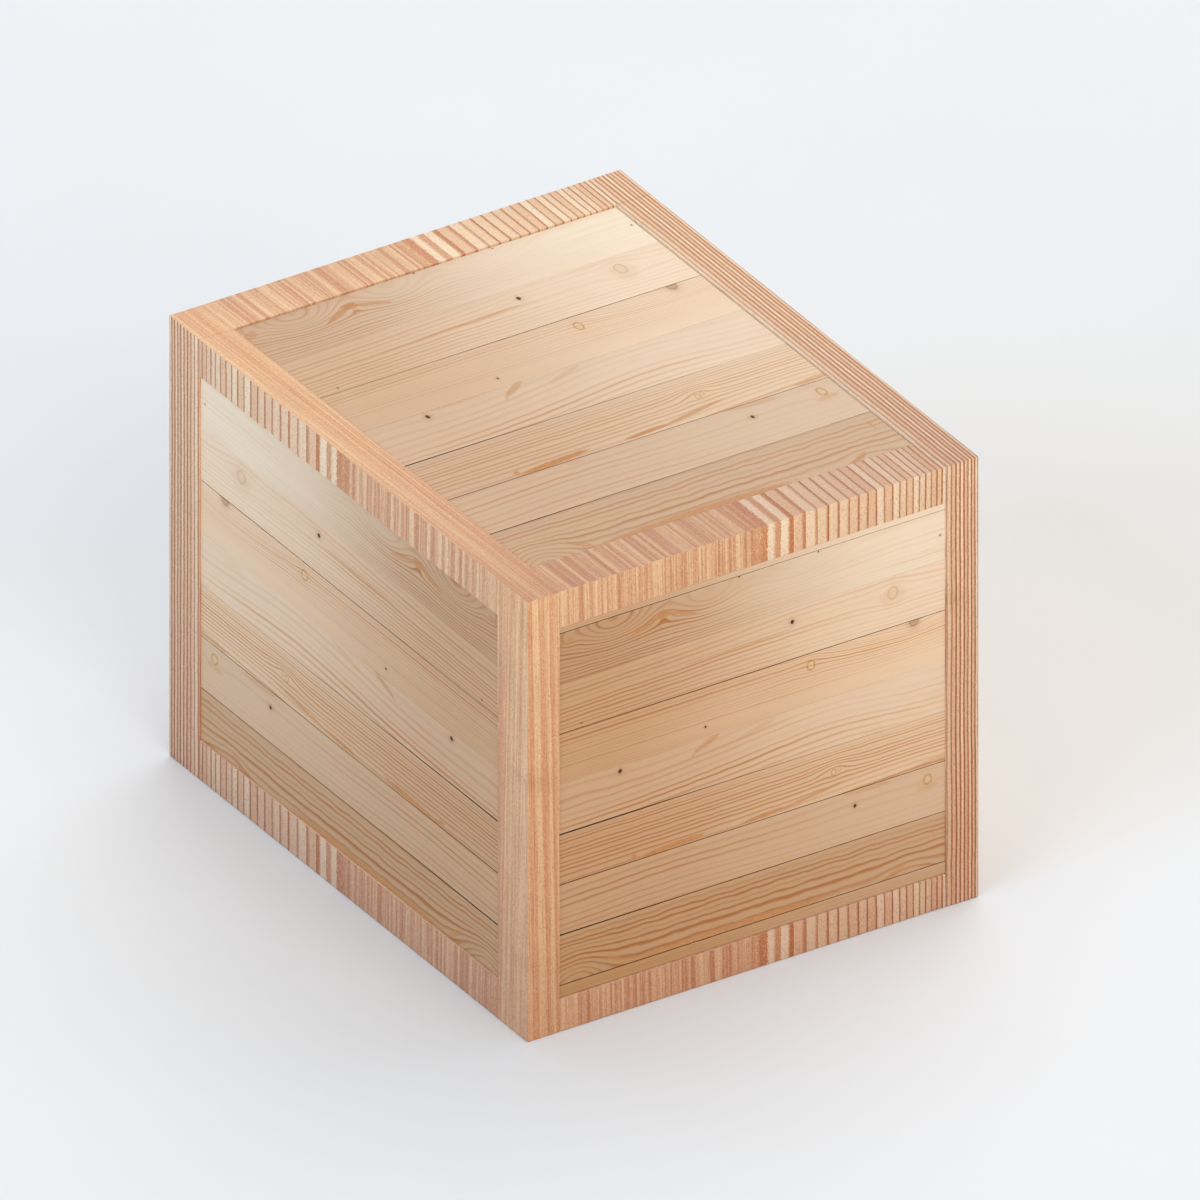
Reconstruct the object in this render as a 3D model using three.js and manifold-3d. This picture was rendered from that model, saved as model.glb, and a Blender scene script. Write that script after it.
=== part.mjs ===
// A wooden shipping crate of frame-and-board construction, in millimetres, +Z up.
// Four corner posts and eight rails are joined by mortise and tenon. Tongue-and-groove boards fill
// the four walls, loose boards lie on the floor, and a battened board lid drops into the top frame.
// The origin is the centre of the underside. X is the width, Y the depth, and the front faces -Y.
import * as THREE from "three";
import { mergeVertices } from "three/addons/utils/BufferGeometryUtils.js";
import Module from "manifold-3d";

const wasm = await Module();
wasm.setup();

// Overall size, and the play left between neighbouring pieces.
const WIDTH = 534;
const DEPTH = 668;
const HEIGHT = 511;
const GAP = 0.3;
const OVER = 5; // how far a cutter runs past the face it opens

// Corner posts, and the rails between them.
const POST_X = 38;
const POST_Y = 56;
const BOTTOM_RAIL_THICK = 30;
const TENON_THICK = 10;
const TENON_INSET = 8; // from the outer face to the tenon's outer cheek
const TENON_SHOULDER = 6; // left above and below a tenon
const TOP_SHOULDER = 10; // left above a top rail's tenon, so the mortise stays blind

// Tongue-and-groove boards.
const BOARD_THICK = 14;
const BOARD_INSET = 2; // the boards lie this far behind the frame's face
const TONGUE_THICK = 4.6;
const TONGUE_LONG = 5;
const BOARDS_PER_WALL = 7;
const LOWER_STRIP = 14; // the front wall's narrow closing strips
const UPPER_STRIP = 8;

// Floor, on a rebate cut into the bottom rails.
const FLOOR_LOW = 20;
const FLOOR_THICK = 18;
const REBATE_INSET = 18;
const FLOOR_BOARDS = 4;
const FLOOR_SEAM = 1;
const BEARER_WIDE = 60;

// Drop-in lid, on ledges fixed inside the top rails.
const LID_BOARD_THICK = 16;
const LID_INSET = 2;
const LID_PLAY = 1;
const LID_BOARDS = 7;
const LEDGE_WIDE = 15;
const LEDGE_HIGH = 20;
const BATTEN_WIDE = 45;
const BATTEN_HIGH = 20;
const BATTEN_PLAY = 2;

// The walls that face along Y and the walls that face along X. Each is described in its own frame:
// x runs along the wall from its centre, y runs inwards from the outer face, z runs up.
const END_WALL = {
  run: WIDTH,
  post: POST_X,
  bottomRail: 38,
  topRail: 42,
  topRailThick: POST_Y,
  tenon: 15,
};
const SIDE_WALL = {
  run: DEPTH,
  post: POST_Y,
  bottomRail: 46,
  topRail: 43,
  topRailThick: 40,
  tenon: 20,
};
const WALLS = {
  front: { kind: END_WALL, turn: 0, at: [0, -DEPTH / 2] },
  right: { kind: SIDE_WALL, turn: Math.PI / 2, at: [WIDTH / 2, 0] },
  back: { kind: END_WALL, turn: Math.PI, at: [0, DEPTH / 2] },
  left: { kind: SIDE_WALL, turn: -Math.PI / 2, at: [-WIDTH / 2, 0] },
};

const crate = new THREE.Group();

const wood = {
  frame: new THREE.MeshStandardMaterial({ color: 0xd8a27a, roughness: 0.7, metalness: 0 }),
  wallBoard: new THREE.MeshStandardMaterial({ color: 0xdbb18a, roughness: 0.65, metalness: 0 }),
  lidBoard: new THREE.MeshStandardMaterial({ color: 0xe3bf9c, roughness: 0.65, metalness: 0 }),
  floor: new THREE.MeshStandardMaterial({ color: 0xcfa27a, roughness: 0.75, metalness: 0 }),
  batten: new THREE.MeshStandardMaterial({ color: 0xc9966b, roughness: 0.75, metalness: 0 }),
};

// A box between the given [low, high] spans along x, y and z.
function boxGeometry(x, y, z) {
  const geometry = new THREE.BoxGeometry(x[1] - x[0], y[1] - y[0], z[1] - z[0]);
  geometry.translate((x[0] + x[1]) / 2, (y[0] + y[1]) / 2, (z[0] + z[1]) / 2);
  return geometry;
}

// The same box as a solid that can be cut and joined.
function block(x, y, z) {
  const geometry = boxGeometry(x, y, z);
  geometry.deleteAttribute("normal");
  geometry.deleteAttribute("uv");
  const merged = mergeVertices(geometry);
  const mesh = new wasm.Mesh({
    numProp: 3,
    vertProperties: merged.attributes.position.array,
    triVerts: new Uint32Array(merged.index.array),
  });
  return new wasm.Manifold(mesh);
}

function geometryOf(solid) {
  const { vertProperties, triVerts } = solid.getMesh();
  const indexed = new THREE.BufferGeometry();
  indexed.setAttribute("position", new THREE.BufferAttribute(vertProperties, 3));
  indexed.setIndex(new THREE.BufferAttribute(triVerts, 1));
  const geometry = indexed.toNonIndexed();
  geometry.computeVertexNormals();
  return geometry;
}

function addPiece(parent, name, geometry, material) {
  const mesh = new THREE.Mesh(geometry, material);
  mesh.name = name;
  parent.add(mesh);
  return mesh;
}

function centred(size) {
  return [-size / 2, size / 2];
}

function grown(span, by) {
  return [span[0] - by, span[1] + by];
}

// Cross-sections shared by the joints, measured inwards from a wall's outer face.
const boardSpan = [BOARD_INSET, BOARD_INSET + BOARD_THICK];
const boardMiddle = BOARD_INSET + BOARD_THICK / 2;
const tongueSpan = grown([boardMiddle, boardMiddle], TONGUE_THICK / 2);
const grooveSpan = grown(tongueSpan, GAP);
const tenonSpan = [TENON_INSET, TENON_INSET + TENON_THICK];

// Heights of a wall's parts.
function topRailLow(kind) {
  return HEIGHT - kind.topRail;
}

function bottomTenon(kind) {
  return [TENON_SHOULDER, kind.bottomRail - TENON_SHOULDER];
}

function topTenon(kind) {
  return [topRailLow(kind) + TENON_SHOULDER, HEIGHT - TOP_SHOULDER];
}

// Half the length between a wall's posts, with the play at one end taken off.
function halfBetweenPosts(kind) {
  return kind.run / 2 - kind.post - GAP;
}

// One corner post with its outer edge at the origin. The end wall meets its +x face and the side
// wall its +y face, each with two blind mortises and the groove that holds the board ends.
function cornerPost() {
  let post = block([0, POST_X], [0, POST_Y], [0, HEIGHT]);
  for (const tenonHeight of [bottomTenon(END_WALL), topTenon(END_WALL)]) {
    const deep = [POST_X - END_WALL.tenon, POST_X + OVER];
    post = post.subtract(block(deep, grown(tenonSpan, GAP), grown(tenonHeight, GAP)));
  }
  for (const tenonHeight of [bottomTenon(SIDE_WALL), topTenon(SIDE_WALL)]) {
    const deep = [POST_Y - SIDE_WALL.tenon, POST_Y + OVER];
    post = post.subtract(block(grown(tenonSpan, GAP), deep, grown(tenonHeight, GAP)));
  }
  const endGroove = [POST_X - TONGUE_LONG, POST_X + OVER];
  post = post.subtract(block(endGroove, grooveSpan, grooveHeight(END_WALL)));
  const sideGroove = [POST_Y - TONGUE_LONG, POST_Y + OVER];
  return post.subtract(block(grooveSpan, sideGroove, grooveHeight(SIDE_WALL)));
}

function grooveHeight(kind) {
  return [kind.bottomRail - TONGUE_LONG, topRailLow(kind) + TONGUE_LONG];
}

// A bottom rail: tenons on its ends, a groove on top for the boards, a rebate inside for the floor.
function bottomRail(kind) {
  const length = centred(2 * halfBetweenPosts(kind));
  const rail = block(length, [0, BOTTOM_RAIL_THICK], [0, kind.bottomRail]);
  const tenons = block(grown(length, kind.tenon), tenonSpan, bottomTenon(kind));
  const groove = block(
    grown(length, OVER),
    grooveSpan,
    [kind.bottomRail - TONGUE_LONG, kind.bottomRail + OVER],
  );
  const rebate = block(
    length,
    [REBATE_INSET, BOTTOM_RAIL_THICK + OVER],
    [FLOOR_LOW - GAP, kind.bottomRail + OVER],
  );
  return rail.subtract(rebate).subtract(groove).add(tenons);
}

// A top rail: tenons on its ends and a groove underneath for the boards.
function topRail(kind) {
  const length = centred(2 * halfBetweenPosts(kind));
  const low = topRailLow(kind);
  const rail = block(length, [0, kind.topRailThick], [low, HEIGHT]);
  const tenons = block(grown(length, kind.tenon), tenonSpan, topTenon(kind));
  const groove = block(grown(length, OVER), grooveSpan, [low - OVER, low + TONGUE_LONG]);
  return rail.subtract(groove).add(tenons);
}

// A wall board that covers the heights from low to high. Its tongue runs round both ends and the
// upper edge; the lower edge is grooved, except on the lowest board, which has a tongue there too.
function wallBoard(kind, low, high, isLowest) {
  const length = centred(2 * halfBetweenPosts(kind));
  const body = block(length, boardSpan, [low + GAP, high]);
  const tongueLow = isLowest ? low + GAP - TONGUE_LONG : low + GAP;
  const tongue = block(grown(length, TONGUE_LONG), tongueSpan, [tongueLow, high + TONGUE_LONG]);
  const board = body.add(tongue);
  if (isLowest) return board;
  const groove = block(grown(length, 2 * OVER), grooveSpan, [low - OVER, low + GAP + TONGUE_LONG]);
  return board.subtract(groove);
}

// The visible heights of a wall's boards from the bottom up, with their names.
function boardCourses(name, kind) {
  const opening = topRailLow(kind) - GAP - kind.bottomRail;
  const strips = name === "front" ? [LOWER_STRIP, UPPER_STRIP] : [0, 0];
  const height = (opening - strips[0] - strips[1]) / BOARDS_PER_WALL;
  const courses = [];
  if (strips[0] > 0) courses.push({ name: `${name}_strip_lower`, height: strips[0] });
  for (let i = 1; i <= BOARDS_PER_WALL; i += 1) courses.push({ name: `${name}_board_${i}`, height });
  if (strips[1] > 0) courses.push({ name: `${name}_strip_upper`, height: strips[1] });
  return courses;
}

function addPosts() {
  const geometry = geometryOf(cornerPost());
  for (const [end, y] of [["front", -1], ["back", 1]]) {
    for (const [side, x] of [["left", -1], ["right", 1]]) {
      const post = addPiece(crate, `corner_post_${end}_${side}`, geometry, wood.frame);
      post.position.set((x * WIDTH) / 2, (y * DEPTH) / 2, 0);
      post.scale.set(-x, -y, 1);
    }
  }
}

function addWall(name, { kind, turn, at }) {
  const wall = new THREE.Group();
  wall.position.set(at[0], at[1], 0);
  wall.rotation.z = turn;
  crate.add(wall);
  addPiece(wall, `bottom_rail_${name}`, geometryOf(bottomRail(kind)), wood.frame);
  addPiece(wall, `top_rail_${name}`, geometryOf(topRail(kind)), wood.frame);
  let low = kind.bottomRail;
  boardCourses(name, kind).forEach((course, index) => {
    const high = low + course.height;
    const board = wallBoard(kind, low, high, index === 0);
    addPiece(wall, course.name, geometryOf(board), wood.wallBoard);
    low = high;
  });
}

// Floor boards lie across the crate on the rails' rebates, and the end ones are notched round the
// posts. A bearer under their middles stands on the ground.
function addFloor() {
  const halfX = WIDTH / 2 - REBATE_INSET - GAP;
  const halfY = DEPTH / 2 - REBATE_INSET - GAP;
  const pitch = (2 * halfY + FLOOR_SEAM) / FLOOR_BOARDS;
  for (let i = 0; i < FLOOR_BOARDS; i += 1) {
    const low = -halfY + i * pitch;
    let board = block(
      [-halfX, halfX],
      [low, low + pitch - FLOOR_SEAM],
      [FLOOR_LOW, FLOOR_LOW + FLOOR_THICK],
    );
    for (const x of [-1, 1]) {
      for (const y of [-1, 1]) board = board.subtract(postClearance(x, y));
    }
    addPiece(crate, `floor_board_${i + 1}`, geometryOf(board), wood.floor);
  }
  const bearerHalf = DEPTH / 2 - BOTTOM_RAIL_THICK - GAP;
  const bearer = boxGeometry(
    centred(BEARER_WIDE),
    [-bearerHalf, bearerHalf],
    [0, FLOOR_LOW - GAP],
  );
  addPiece(crate, "floor_bearer", bearer, wood.batten);
}

// The space of one corner post with play round it; x and y are -1 or 1.
function postClearance(x, y) {
  const spanX = [WIDTH / 2 - POST_X - GAP, WIDTH / 2].map((v) => v * x);
  const spanY = [DEPTH / 2 - POST_Y - GAP, DEPTH / 2].map((v) => v * y);
  const ascending = (a, b) => a - b;
  return block(spanX.sort(ascending), spanY.sort(ascending), [0, HEIGHT]);
}

const lidLow = HEIGHT - LID_INSET - LID_BOARD_THICK;
const openingHalfX = WIDTH / 2 - SIDE_WALL.topRailThick;
const openingHalfY = DEPTH / 2 - END_WALL.topRailThick;

// Ledges screwed inside the top rails carry the lid. The side ones run the whole depth.
function addLedges() {
  const height = [lidLow - GAP - LEDGE_HIGH, lidLow - GAP];
  const sideX = [openingHalfX - GAP - LEDGE_WIDE, openingHalfX - GAP];
  const endY = [openingHalfY - GAP - LEDGE_WIDE, openingHalfY - GAP];
  const sideLength = centred(2 * (openingHalfY - GAP));
  const endLength = centred(2 * (sideX[0] - GAP));
  const flipped = (span) => [-span[1], -span[0]];
  addPiece(crate, "lid_ledge_left", boxGeometry(flipped(sideX), sideLength, height), wood.batten);
  addPiece(crate, "lid_ledge_right", boxGeometry(sideX, sideLength, height), wood.batten);
  addPiece(crate, "lid_ledge_front", boxGeometry(endLength, flipped(endY), height), wood.batten);
  addPiece(crate, "lid_ledge_back", boxGeometry(endLength, endY, height), wood.batten);
}

// One lid board from its groove edge at front to its tongue edge at back. The outermost boards have
// plain outer edges.
function lidBoard(front, back, isFirst, isLast) {
  const length = centred(2 * (openingHalfX - LID_PLAY));
  const middle = lidLow + LID_BOARD_THICK / 2;
  const tongueHeight = grown([middle, middle], TONGUE_THICK / 2);
  let board = block(length, [front + (isFirst ? 0 : GAP), back], [lidLow, lidLow + LID_BOARD_THICK]);
  if (!isLast) board = board.add(block(length, [back - OVER, back + TONGUE_LONG], tongueHeight));
  if (isFirst) return board;
  const groove = [front - OVER, front + GAP + TONGUE_LONG];
  return board.subtract(block(grown(length, OVER), groove, grown(tongueHeight, GAP)));
}

function addLid() {
  const lid = new THREE.Group();
  crate.add(lid);
  const halfY = openingHalfY - LID_PLAY;
  const pitch = (2 * halfY) / LID_BOARDS;
  for (let i = 0; i < LID_BOARDS; i += 1) {
    const front = -halfY + i * pitch;
    const board = lidBoard(front, front + pitch, i === 0, i === LID_BOARDS - 1);
    addPiece(lid, `lid_board_${i + 1}`, geometryOf(board), wood.lidBoard);
  }
  const outer = openingHalfX - GAP - LEDGE_WIDE - BATTEN_PLAY;
  const halfLength = openingHalfY - GAP - LEDGE_WIDE - BATTEN_PLAY;
  const batten = boxGeometry(
    centred(BATTEN_WIDE),
    [-halfLength, halfLength],
    [lidLow - GAP - BATTEN_HIGH, lidLow - GAP],
  );
  for (const [side, x] of [["left", -1], ["right", 1]]) {
    const mesh = addPiece(lid, `lid_batten_${side}`, batten, wood.batten);
    mesh.position.x = x * (outer - BATTEN_WIDE / 2);
  }
}

addPosts();
for (const [name, wall] of Object.entries(WALLS)) addWall(name, wall);
addFloor();
addLedges();
addLid();

export default crate;
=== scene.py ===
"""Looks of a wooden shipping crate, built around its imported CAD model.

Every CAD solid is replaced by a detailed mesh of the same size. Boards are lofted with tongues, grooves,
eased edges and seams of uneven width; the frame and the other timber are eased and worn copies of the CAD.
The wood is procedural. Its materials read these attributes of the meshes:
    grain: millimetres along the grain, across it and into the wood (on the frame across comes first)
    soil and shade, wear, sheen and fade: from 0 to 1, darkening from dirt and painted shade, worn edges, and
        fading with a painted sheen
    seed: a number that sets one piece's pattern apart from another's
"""
import math
import random
from dataclasses import dataclass

import bmesh
import bpy
from mathutils import Matrix, Vector, noise


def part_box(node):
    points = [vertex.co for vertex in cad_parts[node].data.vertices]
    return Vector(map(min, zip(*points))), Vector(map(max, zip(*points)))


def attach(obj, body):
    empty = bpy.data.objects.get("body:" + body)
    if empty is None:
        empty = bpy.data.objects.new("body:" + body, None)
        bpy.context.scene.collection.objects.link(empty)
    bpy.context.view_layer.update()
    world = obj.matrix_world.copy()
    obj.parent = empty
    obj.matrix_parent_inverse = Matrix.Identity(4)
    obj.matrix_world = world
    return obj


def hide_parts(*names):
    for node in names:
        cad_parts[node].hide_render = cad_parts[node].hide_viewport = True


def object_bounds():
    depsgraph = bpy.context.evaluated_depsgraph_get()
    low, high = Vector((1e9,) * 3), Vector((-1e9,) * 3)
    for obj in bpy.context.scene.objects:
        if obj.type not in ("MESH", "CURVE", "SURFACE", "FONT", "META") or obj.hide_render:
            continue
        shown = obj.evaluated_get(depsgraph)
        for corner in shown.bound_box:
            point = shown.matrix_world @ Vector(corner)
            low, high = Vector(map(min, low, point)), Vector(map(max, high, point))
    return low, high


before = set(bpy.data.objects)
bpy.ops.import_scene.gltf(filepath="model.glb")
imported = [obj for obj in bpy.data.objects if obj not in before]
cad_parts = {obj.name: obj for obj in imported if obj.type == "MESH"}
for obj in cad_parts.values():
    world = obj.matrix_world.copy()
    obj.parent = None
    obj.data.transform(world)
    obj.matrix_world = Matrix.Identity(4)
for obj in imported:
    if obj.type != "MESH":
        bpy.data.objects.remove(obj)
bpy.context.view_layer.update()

MM = 0.001
LOW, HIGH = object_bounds()
WIDTH, DEPTH, HEIGHT = HIGH - LOW

# The boards' and their joints' sizes, as in the CAD model.
TONGUE_LONG = 5 * MM
TONGUE_THICK = 4.6 * MM
GROOVE_THICK = 5.2 * MM
GAP = 0.3 * MM
BOARD_THICK = 14 * MM
BOARD_INSET = 2 * MM

# Cosines: two directions this close count as one, and a face this close to an axis is no eased edge.
SAME_WAY = 0.999
SQUARE = 0.985

# Metres: points this close are one point when a mesh is cut and when it is merged.
CUT_SNAP = 1e-7
MERGE_SNAP = 1e-6


# -------- node wires

class Wire:
    """A number that flows through a node tree and can be added, multiplied and so on."""

    def __init__(self, tree, socket):
        self.tree = tree
        self.socket = socket

    def math(self, operation, *others):
        node = self.tree.nodes.new("ShaderNodeMath")
        node.operation = operation
        for socket, value in zip(node.inputs, (self, *others)):
            plug(socket, value)
        return Wire(self.tree, node.outputs[0])

    def __add__(self, other):
        return self.math("ADD", other)

    def __sub__(self, other):
        return self.math("SUBTRACT", other)

    def __mul__(self, other):
        return self.math("MULTIPLY", other)

    def __truediv__(self, other):
        return self.math("DIVIDE", other)

    def __neg__(self):
        return self * -1

    __radd__ = __add__
    __rmul__ = __mul__


def plug(socket, value):
    """Feeds a socket from a wire, or sets it to a plain value."""
    if isinstance(value, Wire):
        value.tree.links.new(value.socket, socket)
    else:
        socket.default_value = value


def ramp(value, low, high, start=0.0, end=1.0):
    """A smooth step from start to end as value goes from low to high."""
    node = value.tree.nodes.new("ShaderNodeMapRange")
    node.interpolation_type = "SMOOTHSTEP"
    for name, number in (("From Min", low), ("From Max", high), ("To Min", start), ("To Max", end)):
        plug(node.inputs[name], number)
    plug(node.inputs["Value"], value)
    return Wire(value.tree, node.outputs["Result"])


def hump(value, middle, width):
    """A smooth bump that is 1 where value is middle and falls to a third at width from it."""
    offset = (value - middle) / width
    return (-(offset * offset)).math("EXPONENT")


def vector(x, y, z=0.0):
    """Three numbers as one vector. The first is a wire."""
    tree = x.tree
    node = tree.nodes.new("ShaderNodeCombineXYZ")
    for socket, value in zip(node.inputs, (x, y, z)):
        plug(socket, value)
    return Wire(tree, node.outputs[0])


def wander(x, y, z=0.0, detail=2.0, roughness=0.5):
    """Smooth noise between about -1 and 1 at a place given in units of the noise's own cells."""
    node = x.tree.nodes.new("ShaderNodeTexNoise")
    node.noise_dimensions = "3D"
    plug(node.inputs["Vector"], vector(x, y, z))
    plug(node.inputs["Scale"], 1.0)
    plug(node.inputs["Detail"], detail)
    plug(node.inputs["Roughness"], roughness)
    return (Wire(x.tree, node.outputs["Fac"]) - 0.5) * 2.0


def chance(value):
    """One random number from 0 to 1 for each different value."""
    node = value.tree.nodes.new("ShaderNodeTexWhiteNoise")
    node.noise_dimensions = "1D"
    plug(node.inputs["W"], value)
    return Wire(value.tree, node.outputs["Value"])


def mix(factor, first, second, blend="MIX"):
    """Two colours mixed. At least one of the three values is a wire."""
    tree = next(value.tree for value in (factor, first, second) if isinstance(value, Wire))
    node = tree.nodes.new("ShaderNodeMix")
    node.data_type = "RGBA"
    node.blend_type = blend
    factor_input, first_input, second_input, colour_output = 0, 6, 7, 2
    plug(node.inputs[factor_input], factor)
    plug(node.inputs[first_input], first)
    plug(node.inputs[second_input], second)
    return Wire(tree, node.outputs[colour_output])


def tinted(colour, tint):
    """A colour multiplied by another."""
    return mix(1.0, colour, tint, "MULTIPLY")


def shade(red, green, blue):
    """A colour given in the 0 to 255 steps of a screen, as the linear values that shaders use."""
    steps = [channel / 255 for channel in (red, green, blue)]
    return [s / 12.92 if s <= 0.04045 else ((s + 0.055) / 1.055) ** 2.4 for s in steps] + [1.0]


def new_material(name):
    """A new material, its node tree and its shader, which nothing is linked to yet."""
    material = bpy.data.materials.new(name)
    material.use_nodes = True
    tree = material.node_tree
    tree.nodes.clear()
    output = tree.nodes.new("ShaderNodeOutputMaterial")
    shader = tree.nodes.new("ShaderNodeBsdfPrincipled")
    tree.links.new(shader.outputs[0], output.inputs["Surface"])
    return material, tree, shader


def read_attribute(tree, name, output):
    """One output of the node that reads a mesh attribute."""
    node = tree.nodes.new("ShaderNodeAttribute")
    node.attribute_type = "GEOMETRY"
    node.attribute_name = name
    return node.outputs[output]


def read_number(tree, name):
    return Wire(tree, read_attribute(tree, name, "Fac"))


def split_vector(tree, socket):
    """A vector socket's three numbers."""
    node = tree.nodes.new("ShaderNodeSeparateXYZ")
    tree.links.new(socket, node.inputs[0])
    return [Wire(tree, output) for output in node.outputs]


def read_grain(tree):
    """The three numbers of the grain attribute."""
    return split_vector(tree, read_attribute(tree, "grain", "Vector"))


def read_place(tree):
    """A point's place in its object, in metres."""
    return split_vector(tree, tree.nodes.new("ShaderNodeTexCoord").outputs["Object"])


def surface(tree, shader, colour, roughness, height, depth):
    """Links colour, roughness and a bump of the given depth in metres to the shader."""
    plug(shader.inputs["Base Color"], colour)
    plug(shader.inputs["Roughness"], roughness)
    shader.inputs["Specular IOR Level"].default_value = 0.25
    bump = tree.nodes.new("ShaderNodeBump")
    bump.inputs["Strength"].default_value = 1.0
    bump.inputs["Distance"].default_value = depth
    plug(bump.inputs["Height"], height)
    tree.links.new(bump.outputs[0], shader.inputs["Normal"])


# -------- board wood

# The size of board, in millimetres, that the patterns are drawn for. They stretch to fit other boards.
REFERENCE_LONG = 458.0
REFERENCE_HIGH = 58.4

# Pale fibres, and the painted sheen of the top and the lit sides.
PALE_FIBRE_AND_SHEEN = (1.0, 0.93, 0.77, 1.0)
LATEWOOD = (0.76, 0.50, 0.30, 1.0)
FIBRE = (0.78, 0.69, 0.58, 1.0)
# Tint for the frame's darkening: painted shade on its top, darker towards the ground elsewhere.
DARKENING_TINT = (0.74, 0.66, 0.66, 1.0)
RESIN = shade(178, 112, 60)
PALE_RESIN = shade(202, 144, 92)
HONEY = shade(214, 160, 100)
WORN = shade(232, 198, 158)
# Dirt and painted shade in the seams.
SEAM_DIRT_AND_SHADE = shade(84, 44, 18)
KNOT_CORE = shade(92, 38, 4)
KNOT_RIM = shade(160, 112, 62)


@dataclass
class Pine:
    """One pattern of pine. Places are millimetres along and down a board of the reference size.

    tones: colours at the board's left and right end. Their change from a darker left to a brighter right is
    partly painted light falling from the right.
    density: growth rings per millimetre at its upper and at its lower edge.
    strength: how dark the rings are. thick: the share of a ring that its latewood takes.
    hills: (along, down, long, high, rings), rises and hollows in the ring pattern.
    bold: (along, down, long, high, amount), patches of stronger or weaker rings.
    flames: (along, down, long, high, turn in degrees, amount), resin and solid latewood.
    knots: (along, down, radius, kind).
    sway and ripple: millimetres that the rings wander, over a hand's width and over a finger's.
    """

    tones: tuple
    density: tuple
    strength: float
    thick: float = 0.45
    hills: tuple = ()
    bold: tuple = ()
    flames: tuple = ()
    knots: tuple = ()
    sway: float = 1.4
    ripple: float = 0.6


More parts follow.
